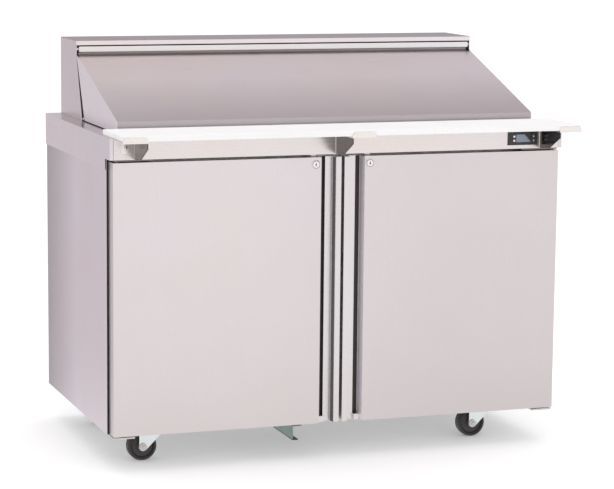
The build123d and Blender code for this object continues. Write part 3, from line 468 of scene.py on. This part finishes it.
def pull_slot_painted_shade(f):
    """Painted shade: black in the deep part of the finger slot and on the slanted wall beside the lip."""
    deep = f.both(f.spread(f.place("Y"), 0.0, 1.0, DOOR_FACE + 22.2 * MM, DOOR_FACE + 22.8 * MM),
                  f.inside(from_middle(f), 40.2 * MM, 57.0 * MM, 0.2 * MM))
    slant = f.both(f.inside(f.place("Y"), DOOR_FACE + 2.2 * MM, DOOR_FACE + 20.0 * MM, 0.3 * MM),
                   f.inside(from_middle(f), 15.0 * MM, 21.4 * MM, 0.2 * MM))
    return f.math("MAXIMUM", deep, slant)


def pull_trim(f):
    """The grey plastic wall on the far side of the finger slot."""
    return f.both(f.inside(from_middle(f), 57.4 * MM, 59.0 * MM, 0.2 * MM),
                  f.spread(f.place("Y"), 0.0, 1.0, DOOR_FACE + 1.0 * MM, DOOR_FACE + 1.4 * MM))


def frame_edge_painted_shade(f):
    """Painted shade: a black strip on the sealing frame outside the doors' gaskets, darkening the gap there."""
    return f.spread(from_middle(f), 0.0, 1.0, FRAME_EDGE - 0.5 * MM, FRAME_EDGE + 0.5 * MM)


def upper_hinges(f):
    return f.spread(f.place("Z"), 0.0, 1.0, HINGES_PART - 10.0 * MM, HINGES_PART + 10.0 * MM)


# Painted shadow: the under bracket's foot flange is dark brown.
def channel_foot_shadow(f):
    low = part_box("under_bracket")[0]
    return f.spread(f.place("Z"), 1.0, 0.0, low.z + FOOT_HEIGHT - 0.2 * MM, low.z + FOOT_HEIGHT + 0.2 * MM)


LOCK_X = 73.0 * MM           # the locks' distance from the middle
LOCK_RADIUS = 11.5 * MM
KEYWAY = Vector((0.9 * MM, 0.0, 4.2 * MM))


def lock_painted_shade(side):
    """Painted shade: a dark ring round the lock's head, a dark middle and the keyway, on its front face."""
    low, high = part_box(f"door_{side}_lock")
    centre = Vector((math.copysign(LOCK_X, low.x), 0.0, high.z - LOCK_RADIUS))

    def mask(f):
        radius = f.radius("XZ", centre)
        shade_ring = f.inside(radius, 8.6 * MM, 9.8 * MM, 0.2 * MM)
        core = f.spread(radius, 1.0, 0.0, 2.1 * MM, 2.3 * MM)
        slot = f.both(f.inside(f.place("X"), centre.x - KEYWAY.x, centre.x + KEYWAY.x, 0.1 * MM),
                      f.inside(f.place("Z"), centre.z - KEYWAY.z, centre.z + KEYWAY.z, 0.1 * MM))
        front = f.spread(f.place("Y"), 1.0, 0.0, DOOR_FACE - 0.2 * MM, DOOR_FACE + 0.1 * MM)
        return f.both(f.math("MAXIMUM", f.math("MAXIMUM", shade_ring, core), slot), front)
    return mask


def wheel_rubber(corner):
    """Rubber tread round a harder, slightly greyer web and hub."""
    centre = middle("caster_wheel_" + corner)

    def web(f):
        return f.spread(f.radius("XZ", centre), 1.0, 0.0, 29.0 * MM, 29.4 * MM)

    def hub(f):
        return f.spread(f.radius("XZ", centre), 1.0, 0.0, 12.8 * MM, 13.2 * MM)
    return moulded("wheel_" + corner, RUBBER, rough=0.55, bump=0.3,
                   regions=[(web, WHEEL_WEB), (hub, WHEEL_HUB)])


# Several of these steels are lighter and darker copies of one stainless, and their regions carry painted light
# and shade.
STEEL = {
    # Painted shade: the doors darken downwards and towards the right one.
    "door": brushed_steel("steel_door", STEEL_SHEET, rough=0.32, along="Z", side_along="Z", contrast=0.02,
                          regions=[(door_painted_shade, shade(STEEL_SHEET, 0.86))]),
    # Painted shade: the side panels darken towards the rear.
    "side": brushed_steel("steel_side", STEEL_SIDE, rough=0.34, along="Z", side_along="Z", contrast=0.05,
                          regions=[(side_rear_painted_shade, shade(STEEL_SIDE, 0.57))]),
    # Painted shade: the counter is a darker copy of the side steel.
    "counter": brushed_steel("steel_counter", shade(STEEL_SIDE, 0.93), rough=0.22),
    "fascia": brushed_steel("steel_fascia", STEEL_FASCIA, rough=0.25, contrast=0.02),
    # The lid's tones are painted light and shade: darker towards the knee and on the hem, a dark band under the
    # barrel, a lighter barrel and lighter end plates.
    "lid": brushed_steel("steel_lid", STEEL_LID, rough=0.33, contrast=0.025,
                         regions=[(lid_lower_painted_shade, shade(STEEL_LID, 0.68)), (lid_hem, STEEL_HEM_SHADE),
                                  (lid_band_painted_shade, STEEL_BAND_SHADE), (lid_barrel, STEEL_BAR_LIT),
                                  (lid_end, STEEL_END_LIT)]),
    # Painted shade: the hood is a darker copy of the side steel.
    "hood": brushed_steel("steel_hood", shade(STEEL_SIDE, 0.92), rough=0.32, side_along="Z"),
    # The cap is a lighter copy of the sheet steel, painted light, with painted shade on its top face.
    "cap": brushed_steel("steel_cap", shade(STEEL_SHEET, 1.05), rough=0.28, regions=[(cap_top_painted_shade, STEEL_CAP_TOP_SHADE)]),
    # The pull's black places are painted shade; its grey trim is plastic.
    "pull": brushed_steel("steel_pull", STEEL_PULL, rough=0.26, along="Z", side_along="Z", contrast=0.02,
                          plastic=[(pull_slot_painted_shade, SHADE_BLACK), (pull_trim, TRIM_GREY)]),
    # Painted light: the bar is a lighter copy of the steel.
    "bar": brushed_steel("steel_bar", STEEL_BAR_LIT, rough=0.3, contrast=0.02),
    "inner": brushed_steel("steel_inner", STEEL_INNER, rough=0.36),
    # Painted shade: the frame's black edge strip darkens the gap beside the gaskets.
    "frame": brushed_steel("steel_frame", STEEL_INNER, rough=0.36, plastic=[(frame_edge_painted_shade, SHADE_BLACK)]),
    "pan": brushed_steel("steel_pan", STEEL_INNER, rough=0.24),
}
OTHER = {
    # Painted shade: the gusset plates are a dark copy of the polished bracket metal.
    "bracket": plain_metal("bracket_polished", POLISHED_LIGHT, rough=0.2, regions=[(gusset_plates_painted_shade, POLISHED_SHADE)]),
    "galvanised": plain_metal("galvanised", GALVANISED_DULL, rough=0.42, spangle=0.35),
    # The under bracket's zinc plating is a dark teal copy of the forks' zinc, its darkness painted shade.
    "under": plain_metal("zinc_teal_shade", ZINC_TEAL_SHADE, rough=0.45, spangle=0.2,
                         regions=[(channel_foot_shadow, FOOT_SHADOW_BROWN)]),
    "hinge": plain_metal("hinge_plate", ZINC_FOOT, rough=0.33, regions=[(upper_hinges, ZINC_DARK)]),
    "zinc": plain_metal("zinc_plate", ZINC, rough=0.33),
    "screw": plain_metal("screw_steel", SCREW_STEEL, rough=0.22),
    "fins": plain_metal("coil_fins", FIN_ALUMINIUM, rough=0.4),
    "liner": plain_metal("liner_aluminium", LINER_ALUMINIUM, rough=0.45),
    "black_paint": plain_metal("compressor_paint", COMPRESSOR_BLACK, rough=0.38, metallic=0.0),
    "gasket": moulded("gasket_rubber", GASKET, rough=0.6),
    "plastic": moulded("black_plastic", BEZEL_BLACK, rough=0.4),
    "fan": moulded("fan_plastic", FAN_GREY, rough=0.45),
    "coating": moulded("shelf_coating", SHELF_GREY, rough=0.35),
    "nylon": moulded("nylon_bumper", NYLON, rough=0.4),
    "foam": moulded("insulation_foam", FOAM_YELLOW, rough=0.85, grain=260.0, bump=0.5),
    "door_inner": moulded("door_inner_sheet", DOOR_INNER_WHITE, rough=0.4, mottle=0.02),
    "button": plain_metal("button_metal", BUTTON_METAL, rough=0.25),
    "board": board_plastic(),
    "display": display_glass(),
}
# Painted shade: a dark ring, middle and keyway on each lock's face.
for lock_side in SIDES:
    OTHER["lock_" + lock_side] = plain_metal(
        "lock_chrome_" + lock_side, LOCK_CHROME, rough=0.12,
        regions=[(lock_painted_shade(lock_side), LOCK_SHADE_BLACK)])
for wheel_corner in CORNERS:
    OTHER["wheel_" + wheel_corner] = wheel_rubber(wheel_corner)


# ---------------------------------------------------------------- dressing CAD nodes
CAD_EDGE_ANGLE = 35.0        # degrees; sharper edges than this are rounded
MADE_EDGE_ANGLE = 50.0


def bevelled(obj, width, angle=MADE_EDGE_ANGLE):
    bevel = obj.modifiers.new("edges", "BEVEL")
    bevel.width = width
    bevel.segments = 2
    bevel.limit_method = "ANGLE"
    bevel.angle_limit = math.radians(angle)


def soften(obj, width):
    """Joins the faces' shared edges, rounds the sharp ones and evens out the shading."""
    weld = obj.modifiers.new("join", "WELD")
    weld.merge_threshold = 0.02 * MM
    bevelled(obj, width, CAD_EDGE_ANGLE)
    even = obj.modifiers.new("normals", "WEIGHTED_NORMAL")
    even.weight = 100
    even.keep_sharp = True


def dress(node, material, edge=0.5):
    """Gives a CAD node its material and softened edges; edge is in millimetres."""
    obj = NODES[node]
    if not obj.material_slots:
        obj.data.materials.append(material)
    for place in obj.material_slots:
        place.material = material
    if edge:
        soften(obj, edge * MM)


def dress_cad():
    for side in SIDES:
        dress("side_panel_" + side, STEEL["side"], 0.4)
        dress(f"door_{side}_skin", STEEL["door"], 0.5)
        dress(f"door_{side}_pull", STEEL["pull"], 0.5)
        dress(f"door_{side}_core", OTHER["door_inner"], 0.8)
        dress(f"door_{side}_gasket", OTHER["gasket"], 1.0)
        dress(f"door_{side}_lock", OTHER["lock_" + side], 0.2)
    dress("back_panel", STEEL["hood"], 0.4)
    dress("rear_grille", OTHER["galvanised"], 0.3)
    dress("base_pan", OTHER["galvanised"], 0.4)
    dress("foam_core", OTHER["foam"], 0)
    dress("inner_liner", OTHER["liner"], 0.4)
    dress("face_frame", STEEL["frame"], 0.4)
    dress("center_mullion", STEEL["inner"], 0.5)
    dress("countertop", STEEL["counter"], 0.5)
    dress("control_fascia", STEEL["fascia"], 0.5)
    dress("pan_rail", STEEL["inner"], 0.4)
    dress("divider_bars", STEEL["inner"], 0.4)
    dress("food_pans", STEEL["pan"], 0.3)
    dress("hood_housing", STEEL["hood"], 0.5)
    dress("hood_cap", STEEL["cap"], 0.5)
    dress("lid_hinge_rod", OTHER["screw"], 0.3)
    dress("lid_skin", STEEL["lid"], 0.5)
    dress("lid_liner", STEEL["inner"], 1.5)
    dress("cutting_board", OTHER["board"], 0)
    dress("board_brackets", OTHER["bracket"], 0.4)
    dress("screws", OTHER["screw"], 0.2)
    dress("controller_bezel", OTHER["plastic"], 0.3)
    dress("controller_display", OTHER["display"], 0.1)
    dress("hinge_brackets", OTHER["hinge"], 0.5)
    dress("wire_shelves", OTHER["coating"], 0)
    dress("shelf_supports", STEEL["inner"], 0.4)
    for node in ("evaporator_coil", "condenser_coil"):
        dress(node, OTHER["fins"], 0)
    dress("evaporator_housing", OTHER["liner"], 0.4)
    for node in ("evaporator_fan", "condenser_fan"):
        dress(node, OTHER["fan"], 0.3)
    dress("condenser_shroud", OTHER["galvanised"], 0.5)
    dress("compressor", OTHER["black_paint"], 0.8)
    dress("unit_base", OTHER["galvanised"], 0.6)
    dress("cord_inlet", OTHER["plastic"], 0.4)
    dress("under_bracket", OTHER["under"], 0.3)
    dress("caster_plates", OTHER["zinc"], 0.4)
    for name in ("power", "set", "up", "down"):
        dress("button_" + name, OTHER["button"], 0.2)
    for corner in CORNERS:
        dress("caster_fork_" + corner, OTHER["zinc"], 0.6)
        dress("caster_wheel_" + corner, OTHER["wheel_" + corner], 0.8)


dress_cad()


# ---------------------------------------------------------------- pieces made here
def make_piece(name, build, material, body, smooth=40.0):
    """An object from a bmesh, shaded smooth except at sharp edges, riding on a body."""
    mesh = bpy.data.meshes.new(name)
    bmesh.ops.recalc_face_normals(build, faces=build.faces)
    build.to_mesh(mesh)
    build.free()
    for face in mesh.polygons:
        face.use_smooth = True
    mesh.set_sharp_from_angle(angle=math.radians(smooth))
    mesh.materials.append(material)
    piece = bpy.data.objects.new(name, mesh)
    bpy.context.scene.collection.objects.link(piece)
    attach(piece, body)
    return piece


def bridge(build, first, second):
    """Quads between two rings of equally many vertices."""
    for i in range(len(first)):
        j = (i + 1) % len(first)
        build.faces.new((first[i], first[j], second[j], second[i]))


def add_prism(build, outline, x0, x1):
    """A closed (y, z) outline drawn out along X."""
    rings = [[build.verts.new((x, y, z)) for y, z in outline] for x in (x0, x1)]
    bridge(build, *rings)
    build.faces.new(rings[0][::-1])
    build.faces.new(rings[1])


def rounded(points, radius, steps=4):
    """The outline with each corner turned into a short arc."""
    result = []
    count = len(points)
    for i, point in enumerate(points):
        here = Vector(point)
        ahead = (Vector(points[(i + 1) % count]) - here).normalized() * radius
        back = (Vector(points[i - 1]) - here).normalized() * radius
        for step in range(steps + 1):
            t = step / steps
            result.append(tuple(here + back * (1 - t) ** 2 + ahead * t ** 2))
    return result


def lid_bar():
    """The flat-fronted bar over the lid's hinge barrel."""
    front, rear = HINGE.y - 9.9 * MM, HINGE.y - 5.5 * MM
    top, bottom = HINGE.z + 7.2 * MM, HINGE.z - 7.8 * MM
    outline = rounded([(front, bottom), (front, top), (rear, top), (rear, bottom)], 1.9 * MM)
    half = LID_HIGH.x - 7.4 * MM
    build = bmesh.new()
    add_prism(build, outline, -half, half)
    piece = make_piece("lid_hinge_bar", build, STEEL["bar"], "lid")
    bevelled(piece, 0.4 * MM)


BUMPER_RADIUS = 3.4 * MM


def hood_seals():
    """Black baffles that close the wedges between the hood's ends and the lid, and their bumpers."""
    floor_z = LID_LOW.z + 0.3 * MM
    top_z = HINGE.z - 13 * MM
    outline = [(HINGE.y - 104 * MM, floor_z), (HINGE.y - 48 * MM, floor_z),
               (HINGE.y + 4 * MM, top_z), (HINGE.y - 14 * MM, top_z)]
    build = bmesh.new()
    for side in (-1, 1):
        x0, x1 = sorted((side * (LID_HIGH.x - 5.5 * MM), side * (LID_HIGH.x - 3.2 * MM)))
        add_prism(build, rounded(outline, 2.0 * MM), x0, x1)
    piece = make_piece("hood_end_seals", build, OTHER["gasket"], "cabinet")
    bevelled(piece, 0.5 * MM)

    build = bmesh.new()
    for side in (-1, 1):
        at = Vector((side * (LID_HIGH.x - 1.8 * MM), HINGE.y - 75 * MM, floor_z + BUMPER_RADIUS))
        ball = bmesh.ops.create_uvsphere(build, u_segments=20, v_segments=12, radius=BUMPER_RADIUS)
        for vert in ball["verts"]:
            vert.co.x *= 0.5
            vert.co.z = max(vert.co.z, -2.8 * MM)
            vert.co += at
    make_piece("lid_bumpers", build, OTHER["nylon"], "cabinet")


HEAD_RADIUS = 4.5 * MM
HEAD_HEIGHT = 2.2 * MM
CROSS_ARM = 0.55             # of the head's radius
CROSS_HALF = 0.13
CROSS_DEPTH = 0.55           # of the head's height
HEAD_RINGS, HEAD_SPOKES = 14, 56


def add_screw(build, base, direction):
    """A domed head with a cross recess; base is the middle of its underside."""
    turn = Vector((0, 0, 1)).rotation_difference(direction)
    angles = [2 * math.pi * (spoke + 0.5) / HEAD_SPOKES for spoke in range(HEAD_SPOKES)]
    last = []
    for ring in range(HEAD_RINGS + 1):
        r = ring / HEAD_RINGS
        row = []
        for angle in angles:
            u, v = r * math.cos(angle), r * math.sin(angle)
            height = HEAD_HEIGHT * math.sqrt(max(0.0, 1.0 - (r * 0.98) ** 3.0))
            arm, across = max(abs(u), abs(v)), min(abs(u), abs(v))
            if arm < CROSS_ARM and across < CROSS_HALF:
                height -= HEAD_HEIGHT * CROSS_DEPTH
            row.append(build.verts.new(base + turn @ Vector((u * HEAD_RADIUS, v * HEAD_RADIUS, height))))
        if last:
            bridge(build, last, row)
        else:
            build.faces.new(row)
        last = row
    foot = [build.verts.new(base + turn @ Vector((HEAD_RADIUS * math.cos(a), HEAD_RADIUS * math.sin(a), 0.0)))
            for a in angles]
    bridge(build, last, foot)


def screw_heads():
    """Detailed heads in the places of the CAD ones."""
    build = bmesh.new()
    for low, high in loose_boxes("screws"):
        centre, size = (low + high) / 2, high - low
        axis = min(range(3), key=lambda i: size[i])
        direction = Vector((0.0, 0.0, 0.0))
        direction[axis] = 1.0 if axis == 1 and centre.y > 0 else -1.0
        add_screw(build, centre - direction * size[axis] / 2, direction)
    piece = make_piece("screw_heads", build, OTHER["screw"], "cabinet", smooth=30.0)
    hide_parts("screws")


AXLE_FACE = 26.0 * MM        # the fork's outer faces, from the middle of the wheel
NUT_PARTS = ((9.3, -0.6, 0.4, 32), (6.6, 0.4, 3.2, 6), (4.2, 3.2, 4.4, 24))
NUT_CHAMFER = 0.3
NUT_SHRINK = 0.93


def add_turned(build, centre, side, radius, near, far, sides):
    """A short drum or prism along Y with a chamfered outer end; its measures are in millimetres."""
    rings = []
    for depth, shrink in ((near, 1.0), (far - NUT_CHAMFER, 1.0), (far, NUT_SHRINK)):
        y = centre.y + side * AXLE_FACE + side * depth * MM
        reach = radius * shrink * MM
        rings.append([build.verts.new((centre.x + reach * math.cos(a), y, centre.z + reach * math.sin(a)))
                      for a in (2 * math.pi * i / sides for i in range(sides))])
    for first, second in zip(rings, rings[1:]):
        bridge(build, first, second)
    build.faces.new(rings[0])
    build.faces.new(rings[-1])


def axle_nuts():
    """A washer and a domed hexagon nut on each end of each caster's axle."""
    for corner in CORNERS:
        build = bmesh.new()
        for side in (-1, 1):
            for radius, near, far, sides in NUT_PARTS:
                add_turned(build, middle("caster_wheel_" + corner), side, radius, near, far, sides)
        make_piece("axle_nuts_" + corner, build, OTHER["screw"], "fork_" + corner, smooth=30.0)


lid_bar()
hood_seals()
screw_heads()
axle_nuts()


# ---------------------------------------------------------------- floor, light, camera
FLOOR_HALF = 45.0
FLOOR_GLOW = 0.18            # the paper's own light, so that it reads as white
FRONT_SHEEN = (1.12, 1.105, 1.11)
NEAR_SHEEN = (0.99, 0.975, 0.975)
BACK_SHEEN = (0.78, 0.725, 0.76)
NEAR_EDGE, FAR_EDGE = -1.6, -0.45        # FRONT_SHEEN turns into NEAR_SHEEN between these
BACK_START, BACK_END = -0.45, 1.1        # and NEAR_SHEEN into BACK_SHEEN between these


def make_floor():
    """White paper; polished metal sees it brighter in front of the object than behind it."""
    mesh = bpy.data.meshes.new("floor")
    build = bmesh.new()
    bmesh.ops.create_grid(build, x_segments=4, y_segments=4, size=FLOOR_HALF)
    build.to_mesh(mesh)
    build.free()
    floor = bpy.data.objects.new("floor", mesh)
    bpy.context.scene.collection.objects.link(floor)
    f = Finish("floor_paper")
    cloud = f.noise(0.8, detail=2.0)
    f.link(f.mix(f.spread(cloud, 0.0, 1.0), PAPER_LOW, PAPER_HIGH),
           f.shader.inputs["Base Color"])
    f.set(Roughness=0.9, Emission_Color=(1.0, 1.0, 1.0), Emission_Strength=FLOOR_GLOW)
    ahead = f.mix(f.spread(f.place("Y"), 0.0, 1.0, NEAR_EDGE, FAR_EDGE), FRONT_SHEEN, NEAR_SHEEN)
    sheen = f.mix(f.spread(f.place("Y"), 0.0, 1.0, BACK_START, BACK_END), ahead, BACK_SHEEN)
    reflected = f.add("ShaderNodeEmission")
    f.link(sheen, reflected.inputs["Color"])
    path = f.add("ShaderNodeLightPath")
    mix = f.add("ShaderNodeMixShader")
    f.link(path.outputs["Is Glossy Ray"], mix.inputs["Fac"])
    f.link(f.shader.outputs["BSDF"], mix.inputs[1])
    f.link(reflected.outputs["Emission"], mix.inputs[2])
    f.link(mix.outputs["Shader"], f.tree.nodes["Material Output"].inputs["Surface"])
    mesh.materials.append(f.material)


WORLD_LIGHT = 1.0
WORLD_WHITE = (1.0, 0.995, 1.0, 1.0)
SKY = [(0.0, (0.70, 0.65, 0.68)), (0.2, (0.66, 0.61, 0.64)), (0.55, (0.72, 0.66, 0.70)),
       (0.78, (0.86, 0.80, 0.84)), (0.9, (1.35, 1.33, 1.34)), (1.0, (1.7, 1.7, 1.7))]
FRONT_SKY = {"From Min": -0.5, "From Max": 0.2, "To Min": 1.6, "To Max": 1.0}


def make_world():
    """White light all round; polished metal sees a softer surround, brighter in front."""
    world = bpy.data.worlds.new("studio")
    bpy.context.scene.world = world
    world.use_nodes = True
    tree = world.node_tree
    tree.nodes.clear()
    out = tree.nodes.new("ShaderNodeOutputWorld")
    white = tree.nodes.new("ShaderNodeBackground")
    white.inputs["Color"].default_value = WORLD_WHITE
    white.inputs["Strength"].default_value = WORLD_LIGHT
    graded = tree.nodes.new("ShaderNodeBackground")
    coords = tree.nodes.new("ShaderNodeTexCoord")
    split = tree.nodes.new("ShaderNodeSeparateXYZ")
    ramp = tree.nodes.new("ShaderNodeValToRGB")
    tree.links.new(coords.outputs["Generated"], split.inputs["Vector"])
    tree.links.new(split.outputs["Z"], ramp.inputs["Fac"])
    stops = ramp.color_ramp.elements
    stops[0].position = SKY[0][0]
    stops[1].position = SKY[-1][0]
    for height, _ in SKY[1:-1]:
        stops.new(height)
    for stop, (_, colour) in zip(stops, SKY):
        stop.color = (*colour, 1.0)
    front = tree.nodes.new("ShaderNodeMapRange")
    for key, value in FRONT_SKY.items():
        front.inputs[key].default_value = value
    tree.links.new(split.outputs["Y"], front.inputs["Value"])
    tree.links.new(ramp.outputs["Color"], graded.inputs["Color"])
    tree.links.new(front.outputs["Result"], graded.inputs["Strength"])
    path = tree.nodes.new("ShaderNodeLightPath")
    mix = tree.nodes.new("ShaderNodeMixShader")
    tree.links.new(path.outputs["Is Glossy Ray"], mix.inputs["Fac"])
    tree.links.new(white.outputs["Background"], mix.inputs[1])
    tree.links.new(graded.outputs["Background"], mix.inputs[2])
    tree.links.new(mix.outputs["Shader"], out.inputs["Surface"])


def area_light(name, at, aim, size, power):
    data = bpy.data.lights.new(name, "AREA")
    data.shape = "RECTANGLE"
    data.size, data.size_y = size
    data.energy = power
    lamp = bpy.data.objects.new(name, data)
    lamp.location = at
    lamp.rotation_mode = "QUATERNION"
    lamp.rotation_quaternion = (Vector(aim) - Vector(at)).to_track_quat("-Z", "Y")
    lamp.visible_glossy = False
    bpy.context.scene.collection.objects.link(lamp)


def make_camera():
    yaw, pitch, roll = (math.radians(a) for a in (CAMERA_YAW, CAMERA_PITCH, CAMERA_ROLL))
    ahead = Vector((math.sin(yaw) * math.cos(pitch), math.cos(yaw) * math.cos(pitch), -math.sin(pitch)))
    right = Vector((math.cos(yaw), -math.sin(yaw), 0.0))
    up = right.cross(ahead)
    right, up = (right * math.cos(roll) + up * math.sin(roll), up * math.cos(roll) - right * math.sin(roll))
    data = bpy.data.cameras.new("camera")
    data.sensor_width = SENSOR
    data.lens = CAMERA_LENS
    data.clip_end = CAMERA_REACH
    camera = bpy.data.objects.new("camera", data)
    turn = Matrix((right, up, -ahead)).transposed()
    camera.matrix_world = Matrix.Translation(CAMERA_AT) @ turn.to_4x4()
    bpy.context.scene.collection.objects.link(camera)
    bpy.context.scene.camera = camera


make_floor()
make_world()
area_light("overhead", at=(0.0, 0.4, 3.6), aim=(0.0, 0.0, 0.5), size=(4.0, 3.0), power=30.0)
area_light("front_fill", at=(1.5, -5.0, 2.5), aim=(0.0, 0.0, 0.6), size=(3.0, 2.0), power=30.0)
make_camera()
bpy.context.scene.view_settings.view_transform = "Standard"
